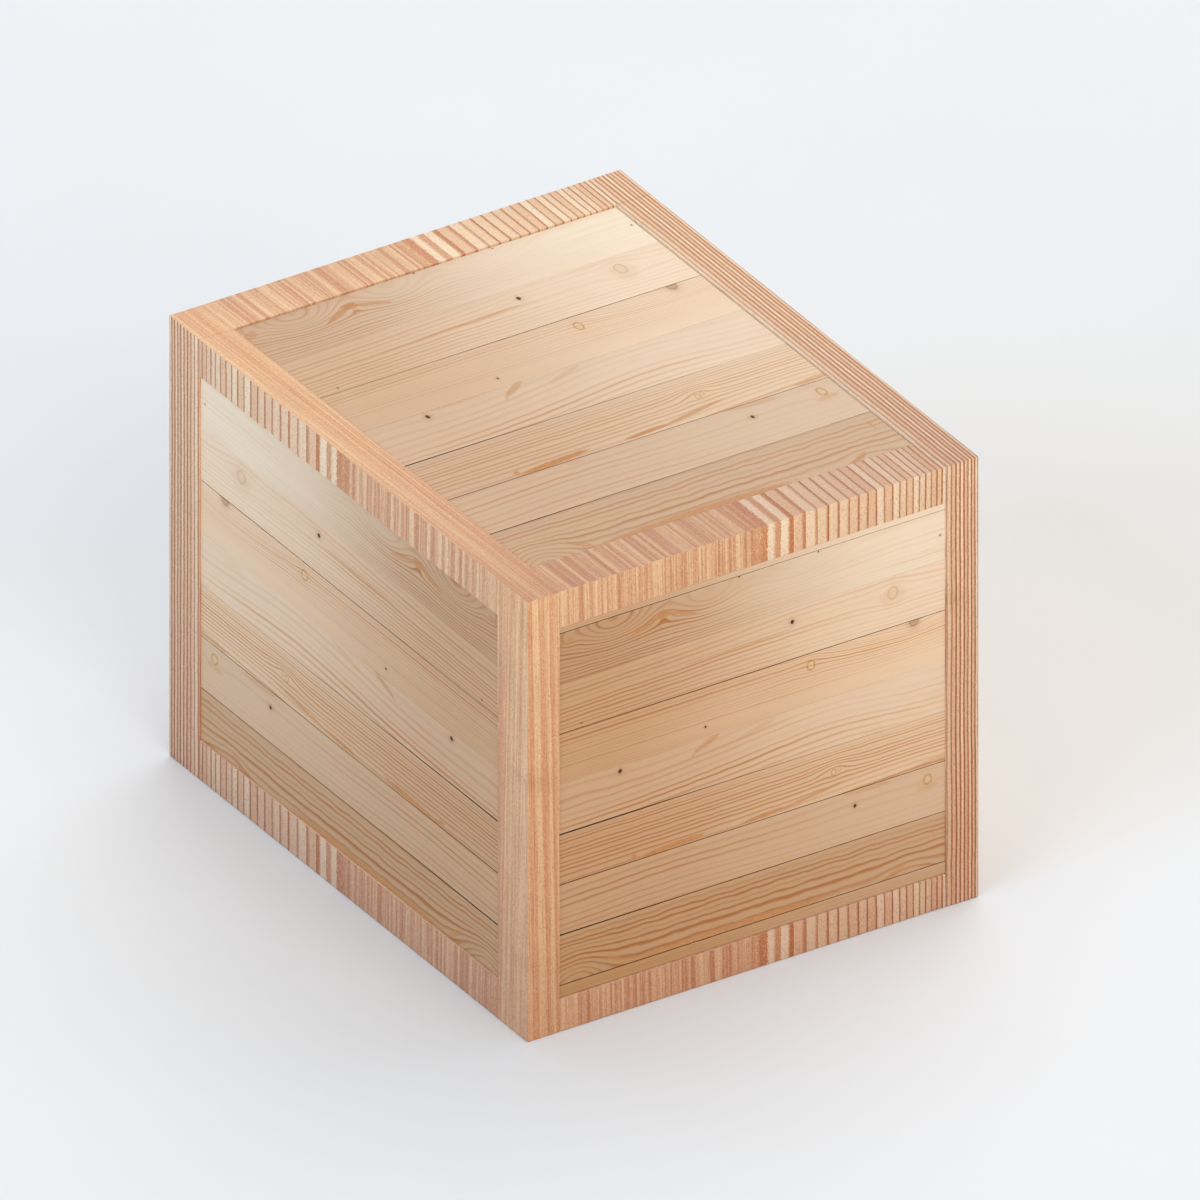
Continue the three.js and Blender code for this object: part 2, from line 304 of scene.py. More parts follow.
PINE = {
    "cathedral": Pine(
        tones=((193, 148, 108), (243, 217, 187)),
        density=(0.05, 0.28),
        strength=0.34,
        hills=(
            (66, 6, 44, 27, -4.8), (178, 12, 38, 24, -3.2), (285, 4, 50, 26, -2.8), (10, 12, 12, 9, -1.1),
            (124, 19, 12, 7, 1.2),
        ),
        bold=(
            (100, 44, 90, 16, 0.65), (60, 16, 55, 24, 1.00), (150, 26, 40, 10, 0.55),
            (330, 20, 110, 60, -0.16),
        ),
        flames=(
            (108, 21, 26, 2.6, -20, 0.80), (142, 20, 28, 2.0, 17, 0.70), (124, 16, 10, 5.0, 0, 0.75),
            (8, 13, 11, 5, -25, 0.45),
        ),
        knots=((214, 0.8, 0.9, "pin"), (308, 1.6, 0.8, "pin"), (452, 28, 0.8, "pin")),
        ripple=1.2,
    ),
    "flat": Pine(
        tones=((200, 155, 114), (240, 209, 177)),
        density=(0.13, 0.25),
        strength=0.42,
        hills=((330, 0, 150, 40, 1.6), (150, 50, 160, 40, 0.9)),
        bold=((60, 40, 150, 22, 0.26), (200, 26, 110, 7, 0.40), (300, 20, 80, 40, -0.14)),
        flames=((396, 24, 16, 13, 8, 0.10), (212, 24, 70, 1.2, -1, 0.50)),
        knots=((277, 15, 2.2, "pin"), (396, 19, 5.6, "faint"), (27, 53, 0.8, "pin")),
        ripple=0.9,
    ),
    "fine": Pine(
        tones=((200, 154, 112), (236, 199, 163)),
        density=(0.22, 0.34),
        strength=0.25,
        hills=((405, -6, 84, 28, -5.6), (299, 20, 40, 12, 0.8)),
        bold=(
            (70, 6, 170, 8, 0.60), (380, 14, 110, 16, 0.72), (200, 38, 260, 2, 0.40),
            (220, 50, 300, 9, -0.12),
        ),
        knots=((421, 0.5, 5.0, "dark"), (299, 14, 4.4, "ring"), (174, 46, 1.2, "pin")),
        sway=0.9,
    ),
    "pale": Pine(
        tones=((202, 159, 121), (231, 198, 166)),
        density=(0.07, 0.17),
        strength=0.29,
        hills=((330, 40, 150, 60, 2.3), (20, 10, 60, 16, 0.7), (410, 20, 60, 40, -0.5)),
        bold=((300, 42, 170, 14, 0.34), (120, 48, 110, 12, 0.36), (60, 20, 80, 20, -0.10)),
        flames=((178, 6, 17, 3.6, -26, 0.50), (163, 13, 9, 2.0, -45, 0.36), (235, 9, 26, 3, -14, 0.24)),
        knots=((73, 7, 2.3, "pin"),),
        ripple=1.0,
    ),
    "tight": Pine(
        tones=((196, 150, 109), (225, 188, 151)),
        density=(0.31, 0.12),
        strength=0.80,
        thick=0.48,
        hills=((328, 25, 26, 12, 1.2), (420, 60, 120, 30, 1.2)),
        bold=((110, 28, 230, 14, 0.60), (330, 28, 120, 12, 0.30), (200, 2, 420, 7, -0.36)),
        flames=(
            (132, 54.5, 46, 3.6, -3, 1.0), (89, 52.5, 4.0, 2.6, 0, 0.9), (243, 53.5, 28, 2.4, -3, 0.9),
            (300, 49, 46, 2.2, -7, 0.65), (442, 54, 26, 3.4, -5, 0.4),
        ),
        knots=((326, 30, 2.8, "ring"), (333, 28, 1.8, "ring")),
        sway=1.0,
        ripple=1.0,
    ),
    "plain": Pine(
        tones=((196, 152, 112), (211, 174, 140)),
        density=(0.10, 0.17),
        strength=0.34,
        hills=((130, 40, 110, 40, 0.7), (390, 0, 90, 20, 0.8)),
        bold=((90, 16, 150, 12, 0.24), (400, 40, 120, 30, -0.10)),
        flames=((362, 2, 34, 4, 3, 0.32), (437, 24, 15, 3, -3, 0.30), (150, 4, 12, 3, 10, 0.20)),
        knots=((351, 18.5, 1.9, "pin"), (437, 15, 4.4, "ring")),
        ripple=1.0,
    ),
    "bold": Pine(
        tones=((188, 143, 101), (197, 155, 116)),
        density=(0.20, 0.075),
        strength=0.70,
        thick=0.50,
        hills=((20, 60, 34, 30, 3.4), (414, 62, 26, 18, 1.3)),
        bold=((250, 29, 210, 11, 0.55), (20, 50, 26, 26, -0.30), (240, 4, 300, 8, -0.14)),
        flames=(
            (196, 56, 128, 6.2, -0.5, 0.75), (68, 48, 14, 3.4, 36, 0.6), (392, 57, 22, 4, -28, 0.5),
            (444, 17, 7, 1.4, 88, 0.45),
        ),
        sway=1.8,
        ripple=2.4,
    ),
    "band": Pine(
        tones=((203, 160, 121), (245, 218, 188)),
        density=(0.03, 0.05),
        strength=0.26,
    ),
    "strip": Pine(
        tones=((185, 138, 93), (196, 154, 117)),
        density=(0.07, 0.12),
        strength=0.32,
        hills=((173, 0, 22, 8, 2.2), (330, 16, 60, 10, 0.8)),
        bold=((173, 2, 30, 8, 0.3),),
        flames=((60, 12, 60, 3.0, 3, 0.7), (250, 12.5, 50, 1.6, -4, 0.45)),
    ),
}


def flame_mask(along, down, place, edge):
    """A leaf-shaped streak with a crisp, uneven edge."""
    at, level, long, high, turn, amount = place
    cosine, sine = math.cos(math.radians(turn)), math.sin(math.radians(turn))
    run = ((along - at) * cosine + (down - level) * sine) / long
    rise = ((down - level) * cosine - (along - at) * sine) / high
    far = run * run + rise * rise + edge
    return ramp(far, 1.15, 0.55) * amount


def draw_knot(colour, along, down, knot, edge):
    """The colour with one knot drawn on it."""
    at, level, radius, kind = knot
    x, y = (along - at) / radius, (down - level) / (radius * 1.2)
    far = (x * x + y * y).math("SQRT") + edge * 0.18
    if kind == "pin":
        dash = hump(along, at, radius * 3.6) * hump(down, level, radius * 0.35)
        colour = mix(dash * 0.35, colour, KNOT_RIM)
        colour = mix(hump(far, 0.0, 1.7) * 0.40, colour, KNOT_RIM)
        return mix(ramp(far, 1.15, 0.70), colour, KNOT_CORE)
    if kind == "dark":
        colour = mix(hump(far, 0.0, 1.4) * 0.60, colour, shade(162, 108, 72))
        return mix(hump(far, 1.0, 0.20) * 0.45, colour, shade(134, 82, 46))
    clear = 0.5 if kind == "faint" else 1.0
    colour = mix(hump(far, 0.0, 2.4) * (0.20 * clear), colour, HONEY)
    colour = mix(ramp(far, 0.85, 0.4) * (0.35 * clear), colour, shade(228, 188, 132))
    return mix(hump(far, 1.0, 0.17) * (0.60 * clear), colour, KNOT_RIM)


def ring_lines(phase, thick):
    """Latewood lines, from 0 in the early wood to 1: a crisp upper edge that fades downwards."""
    ring = phase.math("FLOOR")
    part = phase - ring
    weight = chance(ring) * 0.75 + 0.40
    return ramp(part, 0.0, 0.13) * ramp(part, thick + 0.12, 0.16) * weight


def ring_level(pine, along, down, deep, seed):
    """The number of the growth ring at a place, as a smooth quantity."""
    upper, lower = pine.density
    sway = wander(along / 95, down / 34, seed) * pine.sway
    ripple = wander(along / 22, down / 16, seed, detail=1.0) * pine.ripple
    level = down + deep * 0.6 + sway + ripple
    rings = level * upper + level * level * ((lower - upper) / (2 * REFERENCE_HIGH))
    for at, height, long, high, amount in pine.hills:
        rings = rings + patch(along, down, at, height, long, high) * amount
    for at, height, radius, _ in pine.knots:
        parted = patch(along, down, at, height, radius * 4, radius * 2.4)
        rings = rings + parted * ((down - height) * (-0.6 * (upper + lower) / 2))
    return rings + wander(rings * 0.45, seed, 0.5, detail=1.0) * 0.6


def patch(along, down, at, level, long, high):
    """1 in the middle of an oval patch and 0 away from it."""
    return hump(along, at, long) * hump(down, level, high)


def pine_material(name, pine):
    material, tree, shader = new_material(name)
    along, down, deep = read_grain(tree)
    seed, sheen_and_fade, soil_and_shade = (read_number(tree, key) for key in ("seed", "sheen_and_fade", "soil_and_shade"))

    # Growth rings, stronger in some patches than in others.
    strength = wander(along / 150, down / 10, seed + 7.3) * 0.22 + pine.strength
    strength = strength + ramp(along / REFERENCE_LONG, 0.0, 1.0, 0.12, -0.12)
    for at, height, long, high, amount in pine.bold:
        strength = strength + patch(along, down, at, height, long, high) * amount
    rings = ring_lines(ring_level(pine, along, down, deep, seed), pine.thick)
    # A painted sheen, with some fading, washes out the rings.
    rings = rings * ramp(strength, -0.10, 1.05, 0.0, 1.25) * (sheen_and_fade * -2.4 + 1.0)

    # Slow and fine differences in tone. The drift from the darker left end to the brighter right end is
    # partly painted light.
    left, right = (shade(*tone) for tone in pine.tones)
    drift = along / REFERENCE_LONG + wander(along / 120, down / 30, seed + 2.1) * 0.08
    colour = mix(ramp(drift, 0.08, 1.02), left, right)
    cloud = wander(along / 60, down / 12, seed + 4.7, detail=3.0)
    colour = mix(ramp(cloud, 0.0, 0.8) * 0.25, colour, HONEY)
    blush = wander(along / 90, down / 22, seed + 12.9, detail=1.0)
    colour = mix(ramp(blush, 0.0, 1.0) * 0.12, colour, shade(228, 176, 146))
    # A painted sheen, with some fading, pales the colour: most on the lid, a little on the walls.
    colour = mix(sheen_and_fade, colour, PALE_FIBRE_AND_SHEEN)
    colour = mix(rings, colour, tinted(colour, LATEWOOD))
    fibre = wander(along / 7, down * 2.4, seed, detail=3.0, roughness=0.65)
    colour = mix(ramp(fibre, 0.0, 0.9) * 0.26, colour, tinted(colour, FIBRE))
    colour = mix(ramp(fibre, -0.05, -0.8) * 0.10, colour, PALE_FIBRE_AND_SHEEN)

    # Resin, solid latewood and knots.
    edge = wander(along / 6, down / 2.5, seed + 1.9, detail=3.0)
    resin = mix(ramp(fibre, -0.3, 0.4), PALE_RESIN, RESIN)
    for place in pine.flames:
        colour = mix(flame_mask(along, down, place, edge * 0.40), colour, resin)
    for knot in pine.knots:
        colour = draw_knot(colour, along, down, knot, edge)
    # Dirt and painted shade darken the side walls of the seams.
    colour = mix(soil_and_shade * 0.8, colour, SEAM_DIRT_AND_SHADE)

    roughness = ramp(fibre, -1.0, 1.0, 0.50, 0.66)
    surface(tree, shader, colour, roughness, fibre * 0.35 - rings * 0.8, 0.05 * MM)
    return material


# -------- frame wood

# The width of face, in millimetres, that the frame's stripes are drawn for.
FRAME_ACROSS = 534.0


def frame_material():
    """Reddish frame timber: soft bands at one side of a face, then ragged broad rings, then tight ones."""
    material, tree, shader = new_material("frame_timber")
    across, along, deep = read_grain(tree)
    sheen_and_fade, soil_and_shade, wear = (read_number(tree, key) for key in ("sheen_and_fade", "soil_and_shade", "wear"))
    share = across / FRAME_ACROSS

    # Rings: across the face their spacing shrinks by shrink millimetres, down to tight.
    shrink, tight = 27.4, 3.8
    rag = wander(across / 3.0, along / 2.2, deep / 9, detail=2.0, roughness=0.6)
    rag = rag * ramp(share, 0.66, 0.50, 0.35, 2.6)
    drift = wander(across / 45, along / 190, deep / 30) * 1.8 + wander(across / 12, along / 40, deep) * 0.5
    spacing = ((across + rag + drift) / FRAME_ACROSS) * -shrink + (shrink + tight)
    phase = spacing.math("LOGARITHM", math.e) * (-FRAME_ACROSS / shrink) + 0.75
    ring = phase.math("FLOOR")
    part = phase - ring
    start = ramp(share, 0.52, 0.66, 0.50, 0.80) - ramp(share, 0.84, 1.0) * 0.24
    line = ramp(part, start - 0.16, start + 0.08) * ramp(part, 1.0, 0.93)
    line = line * (chance(ring) * 0.28 + 0.74)
    ringed = ramp(share, 0.520, 0.535)

    # The soft side: yellow and pink bands, with finer threads.
    lean = across + along * 0.02
    band = wander(lean / 4.4, along / 900, deep / 40 + 3.1, detail=3.0, roughness=0.65)
    thread = wander(lean / 1.1, along / 90, deep / 20 + 6.4, detail=2.0)
    fleck = wander((across + along * 0.30) * 0.9, along / 3.0, deep / 6, detail=3.0, roughness=0.7)
    inner = ramp(share, 0.05, 0.12)
    light = mix(inner, shade(241, 196, 147), shade(237, 193, 148))
    pink = mix(inner, shade(221, 156, 109), shade(203, 136, 96))
    colour = mix(ramp(band, -0.28, 0.28), light, pink)
    colour = mix(ramp(thread, 0.0, 0.5) * 0.62, colour, shade(186, 118, 84))

    # The ringed side: each ring is its own shade between cream and pink.
    cream = mix(chance(ring + 0.5), shade(246, 218, 182), shade(232, 184, 144))
    cream = mix(ramp(thread, 0.0, 0.7) * 0.40, cream, shade(208, 148, 110))
    colour = mix(ringed, colour, cream)
    dark = mix(ramp(share, 0.5, 0.75), shade(202, 120, 64), shade(170, 96, 46))
    colour = mix(line * ringed, colour, dark)
    middle = share + rag * 1.6 / FRAME_ACROSS
    core = ramp(middle, 0.488, 0.528) * ramp(middle, 0.536, 0.530) * ramp(fleck, -0.5, 0.3, 0.35, 1.0)
    colour = mix(core, colour, shade(200, 122, 74))

    # Short fibres and slow blushes over everything; the frame darker towards the ground, with painted shade
    # towards the front of its top.
    colour = mix(ramp(fleck, 0.0, 0.40) * 0.55, colour, shade(182, 112, 74))
    colour = mix(ramp(fleck, -0.05, -0.40) * 0.42, colour, shade(246, 212, 172))
    blush = wander(across / 50, along / 150, deep / 50 + 9.2, detail=1.0)
    colour = mix(ramp(blush, 0.0, 0.8) * 0.25, colour, shade(216, 156, 124))
    colour = mix(wear * ramp(fleck, -0.3, 0.3, 0.05, 0.30), colour, WORN)
    # Darker towards the ground, and painted shade towards the front of the top.
    colour = mix(soil_and_shade, colour, tinted(colour, DARKENING_TINT))
    # A painted sheen pales the top and the left side.
    colour = mix(sheen_and_fade, colour, PALE_FIBRE_AND_SHEEN)

    roughness = ramp(fleck, -1.0, 1.0, 0.55, 0.75)
    surface(tree, shader, colour, roughness, fleck * 0.6 - line * ringed, 0.06 * MM)
    return material


def sawn_material(name, early, late, spacing):
    """Plain sawn pine for the floor, bearer, ledges and battens."""
    material, tree, shader = new_material(name)
    along, down, deep = read_grain(tree)
    seed, wear = read_number(tree, "seed"), read_number(tree, "wear")
    level = down + deep * 0.7 + wander(along / 120, down / 30, seed) * 5.0
    lines = ring_lines(level / spacing + wander(level / 14, seed) * 0.7, 0.5)
    fibre = wander(along / 10, down * 2.0, deep * 2.0, detail=3.0, roughness=0.65)
    saw = wander(along * 0.9, down / 40, seed, detail=1.0)
    colour = mix(lines * 0.75, shade(*early), shade(*late))
    colour = mix(ramp(fibre, 0.0, 0.9) * 0.3, colour, shade(150, 104, 66))
    colour = mix(wear * ramp(fibre, -0.3, 0.3, 0.1, 0.5), colour, WORN)
    cloud = wander(along / 70, down / 25, seed + 3.3)
    colour = mix(ramp(cloud, 0.0, 1.0) * 0.3, colour, shade(188, 140, 96))
    roughness = ramp(fibre, -1.0, 1.0, 0.62, 0.82)
    surface(tree, shader, colour, roughness, fibre * 0.4 + saw * 0.6 - lines * 0.3, 0.1 * MM)
    return material


def zinc_material():
    """Yellow-passivated screw heads, dulled in patches."""
    material, tree, shader = new_material("screw_zinc")
    x, y, z = (part / MM for part in read_place(tree))
    cloud = wander(x, y, z, detail=3.0)
    colour = mix(ramp(cloud, -0.6, 0.6), shade(226, 212, 160), shade(188, 176, 140))
    surface(tree, shader, colour, ramp(cloud, -1.0, 1.0, 0.40, 0.55), cloud, 0.03 * MM)
    shader.inputs["Metallic"].default_value = 0.8
    return material


# -------- mesh tools

def link_object(name, mesh, material):
    """A smooth-shaded object of one material, with its sharp edges kept."""
    smooth_limit = math.radians(38)
    piece = bpy.data.objects.new(name, mesh)
    bpy.context.scene.collection.objects.link(piece)
    mesh.materials.clear()
    mesh.materials.append(material)
    mesh.polygons.foreach_set("use_smooth", [True] * len(mesh.polygons))
    mesh.set_sharp_from_angle(angle=smooth_limit)
    return piece


def store(mesh, name, kind, domain, key, values):
    """Adds an attribute to a mesh and fills it."""
    attribute = mesh.attributes.new(name, kind, domain)
    attribute.data.foreach_set(key, values)


def write_grain(mesh, grain_of, soil_and_shade_of, seed, sheen_and_fade_of):
    """Stores grain, darkening (dirt and painted shade) and edge wear at every face corner, and the seed and
    the painted sheen with fading of every face.
    """
    grain, soil_and_shade, wear, sheen_and_fade = [], [], [], []
    for polygon in mesh.polygons:
        sheen_and_fade.append(sheen_and_fade_of(polygon.normal))
        for vertex in polygon.vertices:
            place = mesh.vertices[vertex].co
            grain.extend(grain_of(place, polygon.normal))
            soil_and_shade.append(soil_and_shade_of(place, polygon.normal))
            wear.append(0.0 if max(abs(part) for part in polygon.normal) > SQUARE else 1.0)
    store(mesh, "grain", "FLOAT_VECTOR", "CORNER", "vector", grain)
    store(mesh, "soil_and_shade", "FLOAT", "CORNER", "value", soil_and_shade)
    store(mesh, "wear", "FLOAT", "CORNER", "value", wear)
    store(mesh, "sheen_and_fade", "FLOAT", "FACE", "value", sheen_and_fade)
    store(mesh, "seed", "FLOAT", "FACE", "value", [seed] * len(sheen_and_fade))


def closed_loft(sections):
    """A closed bmesh through sections of equally many points, with flat ends."""
    bm = bmesh.new()
    rings = [[bm.verts.new(point) for point in section] for section in sections]
    count = len(rings[0])
    for ring, following in zip(rings, rings[1:]):
        for i in range(count):
            j = (i + 1) % count
            bm.faces.new((ring[i], ring[j], following[j], following[i]))
    bm.faces.new(rings[0])
    bm.faces.new(rings[-1])
    bmesh.ops.recalc_face_normals(bm, faces=bm.faces)
    return bm


def finished_mesh(bm, name):
    """The mesh of a bmesh, which is freed."""
    mesh = bpy.data.meshes.new(name)
    bm.to_mesh(mesh)
    bm.free()
    return mesh


# -------- boards

class Panel:
    """A wall or the lid: where its boards start, and the directions along, down and into them."""

    def __init__(self, start, along, down, inward, long, high):
        self.start = Vector(start)
        self.along = Vector(along)
        self.down = Vector(down)
        self.inward = Vector(inward)
        self.long = long
        self.high = high

    def place(self, u, v, w):
        return self.start + self.along * u + self.down * v + self.inward * w

    def measure(self, point):
        """The reverse of place."""
        offset = point - self.start
        return offset.dot(self.along), offset.dot(self.down), offset.dot(self.inward)


# Millimetres that each seam is wide at its left end, middle and right end, from the top of a panel down.
# Two seams are all but closed.
SEAMS = (
    (0.75, 0.50, 0.40),
    (0.03, 0.03, 0.03),
    (0.60, 0.85, 0.75),
    (0.03, 0.03, 0.03),
    (1.80, 0.50, 0.03),
    (0.85, 0.75, 0.70),
    (1.60, 0.70, 0.60),
    (0.80, 0.80, 0.70),
)
CLOSED_SEAM = (0.05, 0.05, 0.05)


def seam_width(seam, share):
    """The seam's width in metres at a share of its length, along a smooth curve through its three widths."""
    left, middle, right = seam
    if share < 0.5:
        low, high, part = left, middle, share * 2
    else:
        low, high, part = middle, right, share * 2 - 1
    eased = part * part * (3 - 2 * part)
    return (low + (high - low) * eased) * MM


def arc_points(centre, radius, start, end, steps):
    """Points round a corner, from angle start to angle end in degrees."""
    points = []
    for i in range(steps + 1):
        angle = math.radians(start + (end - start) * i / steps)
        points.append((centre[0] + radius * math.cos(angle), centre[1] + radius * math.sin(angle)))
    return points


def joint_outline(edge, reach, middle, half):
    """Six points, front to back, of a tongue or groove that reaches down from an edge, or up if negative."""
    chamfer = 0.5 * MM
    tip = edge + reach
    shoulder = tip - math.copysign(chamfer, reach)
    return [
        (edge, middle - half), (shoulder, middle - half), (tip, middle - half + chamfer),
        (tip, middle + half - chamfer), (shoulder, middle + half), (edge, middle + half),
    ]


def board_outline(top, bottom, front, back, arris, upper_tongue, lower):
    """A board's cross-section as (down, inward) points, from its upper outer edge round.

    lower is "groove", "tongue" or "plain".
    """
    middle = (front + back) / 2
    face_steps, corner_steps = 6, 3
    points = arc_points((top + arris, front + arris), arris, 180, 270, corner_steps)
    for i in range(1, face_steps):
        points.append((top + arris + (bottom - top - 2 * arris) * i / face_steps, front))
    points += arc_points((bottom - arris, front + arris), arris, 270, 360, corner_steps)
    if lower == "groove":
        points += joint_outline(bottom, -TONGUE_LONG - GAP, middle, GROOVE_THICK / 2)
    if lower == "tongue":
        points += joint_outline(bottom, TONGUE_LONG - GAP, middle, TONGUE_THICK / 2)
    points += arc_points((bottom - arris, back - arris), arris, 0, 90, corner_steps)
    points += arc_points((top + arris, back - arris), arris, 90, 180, corner_steps)
    if upper_tongue:
        points += reversed(joint_outline(top, -TONGUE_LONG, middle, TONGUE_THICK / 2))
    return points


def faces_towards(bm, direction):
    return [face for face in bm.faces if face.normal.dot(direction) > SAME_WAY]


def draw_out_end_tongues(bm, panel, middle):
    """Cuts both end faces of a board into three bands and draws the middle band out as a tongue."""
    half = TONGUE_THICK / 2
    for outward in (-panel.along, panel.along):
        for side in (-half, half):
            ends = faces_towards(bm, outward)
            edges = {edge for face in ends for edge in face.edges}
            verts = {vertex for face in ends for vertex in face.verts}
            bmesh.ops.bisect_plane(
                bm, geom=[*ends, *edges, *verts], dist=CUT_SNAP,
                plane_co=panel.place(0, 0, middle + side), plane_no=panel.inward,
            )
        band = []
        for face in faces_towards(bm, outward):
            depth = panel.measure(face.calc_center_median())[2]
            if abs(depth - middle) < half:
                band.append(face)
        drawn = bmesh.ops.extrude_face_region(bm, geom=band)["geom"]
        bmesh.ops.delete(bm, geom=band, context="FACES_ONLY")
        tip = [item for item in drawn if isinstance(item, bmesh.types.BMVert)]
        bmesh.ops.translate(bm, verts=tip, vec=outward * (TONGUE_LONG - GAP))


def board_mesh(panel, top, bottom, thick, seam_above, seam_below, upper_tongue, lower, end_tongues, rng):
    """One board between two heights of its panel. Its face is cupped and bowed a little."""
    steps = 48
    front, back = BOARD_INSET, BOARD_INSET + thick
    bow_phase, ripple_phase, _ = (rng.uniform(0, math.tau) for _ in range(3))
    cup = rng.uniform(-0.12, 0.12) * MM

    def section(u, inset):
        share = min(max(u / panel.long, 0), 1)
        above = seam_width(seam_above, share)
        below = seam_width(seam_below, share)
        arris = 0.12 * MM + 0.2 * min(above, below, 0.6 * MM)
        edge_top, edge_bottom = top + above / 2 + inset, bottom - below / 2 - inset
        outline = board_outline(
            edge_top, edge_bottom, front + inset, back - inset, arris, upper_tongue, lower
        )
        bow = 0.06 * MM * math.sin(bow_phase + 7 * share) + 0.03 * MM * math.sin(ripple_phase + 23 * share)
        points = []
        for v, w in outline:
            across = (v - edge_top) / (edge_bottom - edge_top) * 2 - 1
            on_face = w < front + 0.5 * MM and abs(across) < 1
            lift = (cup * (1 - across * across) + bow) if on_face else 0
            points.append((u, v, w + lift))
        return points

    end = GAP / 3
    stations = [end + (panel.long - 2 * end) * i / steps for i in range(steps + 1)]
    if end_tongues:
        sections = [section(u, 0) for u in stations]
    else:
        ease = 0.4 * MM
        sections = [section(stations[0], ease), section(stations[0] + ease, 0)]
        sections += [section(u, 0) for u in stations[1:-1]]
        sections += [section(stations[-1] - ease, 0), section(stations[-1], ease)]
    bm = closed_loft([[panel.place(*point) for point in ring] for ring in sections])
    if end_tongues:
        draw_out_end_tongues(bm, panel, (front + back) / 2)
    return finished_mesh(bm, "board")


def add_board(node, body, slot_name, panel, top, bottom, material, seed, sheen_and_fade, flip=False, **shape):
    """Builds one board, gives it its grain and hands it over as the CAD node's stand-in."""
    rng = random.Random(node)
    mesh = board_mesh(panel, top, bottom, rng=rng, **shape)

    def grain_of(point, normal):
        u, v, w = panel.measure(point)
        share_long, share_high = u / panel.long, (v - top) / (bottom - top)
        if flip:
            share_long, share_high = 1 - share_long, 1 - share_high
        return share_long * REFERENCE_LONG, share_high * REFERENCE_HIGH, (w - BOARD_INSET) / MM

    def soil_and_shade_of(point, normal):
        """Dirt and painted shade gather in the seams, but not on the outer edges of the panel."""
        steep = 0.9
        v = panel.measure(point)[1]
        in_seam = abs(normal.dot(panel.down)) > steep and MM < v < panel.high - MM
        return 1.0 if in_seam else 0.0

    write_grain(mesh, grain_of, soil_and_shade_of, seed, lambda normal: sheen_and_fade)
    piece = link_object(f"{node}_wood", mesh, material)
    hand_over(piece, body, slot_name, node)


def hand_over(piece, body, slot_name, *nodes):
    """Makes a piece ride on its body and stand for its CAD nodes, if it has any."""
    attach(piece, body)
    if nodes:
        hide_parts(*nodes)


def wall_panels():
    """The four walls between their posts and rails. Each starts at its soft-grained post."""
    post_low, post_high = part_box("corner_post_front_left")
    post_x, post_y = post_high.x - post_low.x, post_high.y - post_low.y
    across, deep = WIDTH - 2 * post_x, DEPTH - 2 * post_y
    walls = {
        "front": ((-across / 2, LOW.y), (1, 0), (0, 1), across),
        "left": ((LOW.x, -deep / 2), (0, 1), (1, 0), deep),
        "back": ((across / 2, HIGH.y), (-1, 0), (0, -1), across),
        "right": ((HIGH.x, deep / 2), (0, -1), (-1, 0), deep),
    }
    panels = {}
    for name, (start, along, inward, long) in walls.items():
        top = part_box(f"top_rail_{name}")[0].z
        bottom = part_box(f"bottom_rail_{name}")[1].z
        panels[name] = Panel(
            (*start, top), (*along, 0), (0, 0, -1), (*inward, 0), long, top - bottom
        )
    return panels


# Which pattern each wall's boards have, from the top down, and whether every other one is turned round.
ORDER = ("cathedral", "flat", "fine", "pale", "tight", "plain", "bold")
WALL_ORDERS = {
    "front": (ORDER, False),
    "left": (ORDER, False),
    "back": (("pale", "bold", "plain", "cathedral", "flat", "tight", "fine"), True),
    "right": (("tight", "pale", "cathedral", "plain", "bold", "fine", "flat"), True),
}

# How much painted sheen, with some fading, the walls and the lid get, from 0 to 1.
WALL_SHEEN_AND_FADE = {"front": 0.0, "left": 0.03, "back": 0.05, "right": 0.02}
LID_PAINTED_SHEEN = 0.14

# The steps from one wall's, board's or inner timber's seed to the next, and the seed of the lid's first.
WALL_SEED = 11.0
BOARD_SEED = 1.7
TIMBER_SEED = 3.1
LID_SEED = 60.0


def board_courses(name, order):
    """A panel's boards from the top down: each one's node and pattern, and the seams above and below it."""
    courses = [(f"{name}_board_{len(order) - i}", kind) for i, kind in enumerate(order)]
    if name == "front":
        courses = [("front_strip_upper", "band"), *courses, ("front_strip_lower", "strip")]
        seams = [CLOSED_SEAM, *SEAMS, CLOSED_SEAM]
    else:
        seams = [CLOSED_SEAM, *SEAMS[1:-1], CLOSED_SEAM]
    return [(*course, above, below) for course, above, below in zip(courses, seams, seams[1:])]


def add_walls(materials):
    for index, (name, panel) in enumerate(wall_panels().items()):
        order, turned = WALL_ORDERS[name]
        courses = board_courses(name, order)
        for row, (node, kind, above, below) in enumerate(courses):
            low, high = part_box(node)
            is_lowest = row == len(courses) - 1
            top = panel.start.z - (high.z - TONGUE_LONG) - GAP / 2
            bottom = panel.start.z - (low.z + (TONGUE_LONG if is_lowest else 0)) + GAP / 2
            add_board(
                node, "crate", "wall_board", panel, top, bottom, materials[kind],
                seed=index * WALL_SEED + row * BOARD_SEED, sheen_and_fade=WALL_SHEEN_AND_FADE[name],
                flip=turned and row % 2 == 0,
                thick=BOARD_THICK, seam_above=above, seam_below=below, upper_tongue=True,
                lower="tongue" if is_lowest else "groove", end_tongues=True,
            )


